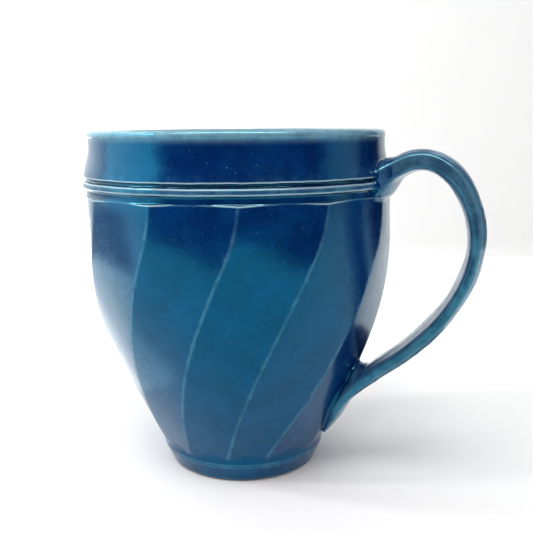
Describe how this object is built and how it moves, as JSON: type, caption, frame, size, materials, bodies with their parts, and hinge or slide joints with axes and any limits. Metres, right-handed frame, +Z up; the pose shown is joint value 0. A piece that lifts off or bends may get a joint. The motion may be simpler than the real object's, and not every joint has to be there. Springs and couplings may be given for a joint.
{
  "type": "shaving mug",
  "caption": "Straight-collared stoneware shaving mug with leaning facets, turned grooves, a pulled strap handle and a blue glaze over a bare foot.",
  "frame": {"origin": "on the cup's axis, in the plane the foot ring stands on", "axes": "+Z up along the cup's axis, +X towards the handle, +Y completes the right-handed frame"},
  "size_m": [0.118, 0.091, 0.1],
  "materials": {
    "cup_clay": "bare brown stoneware, only seen at the foot",
    "handle_clay": "stoneware body under the glaze",
    "root_clay": "stoneware body under the glaze",
    "liner_glaze": "glossy blue, poured inside",
    "outer_glaze": "glossy mottled blue that breaks pale on ridges and pools dark in grooves",
    "handle_glaze": "glossy mottled blue that breaks pale on the strap's edges"
  },
  "bodies": {
    "root": {"clay_cup": "cup_clay", "liner_glaze": "liner_glaze", "outer_glaze": "outer_glaze", "clay_handle": "handle_clay", "upper_root": "root_clay", "lower_root": "root_clay", "handle_glaze": "handle_glaze"}
  },
  "joints": []
}
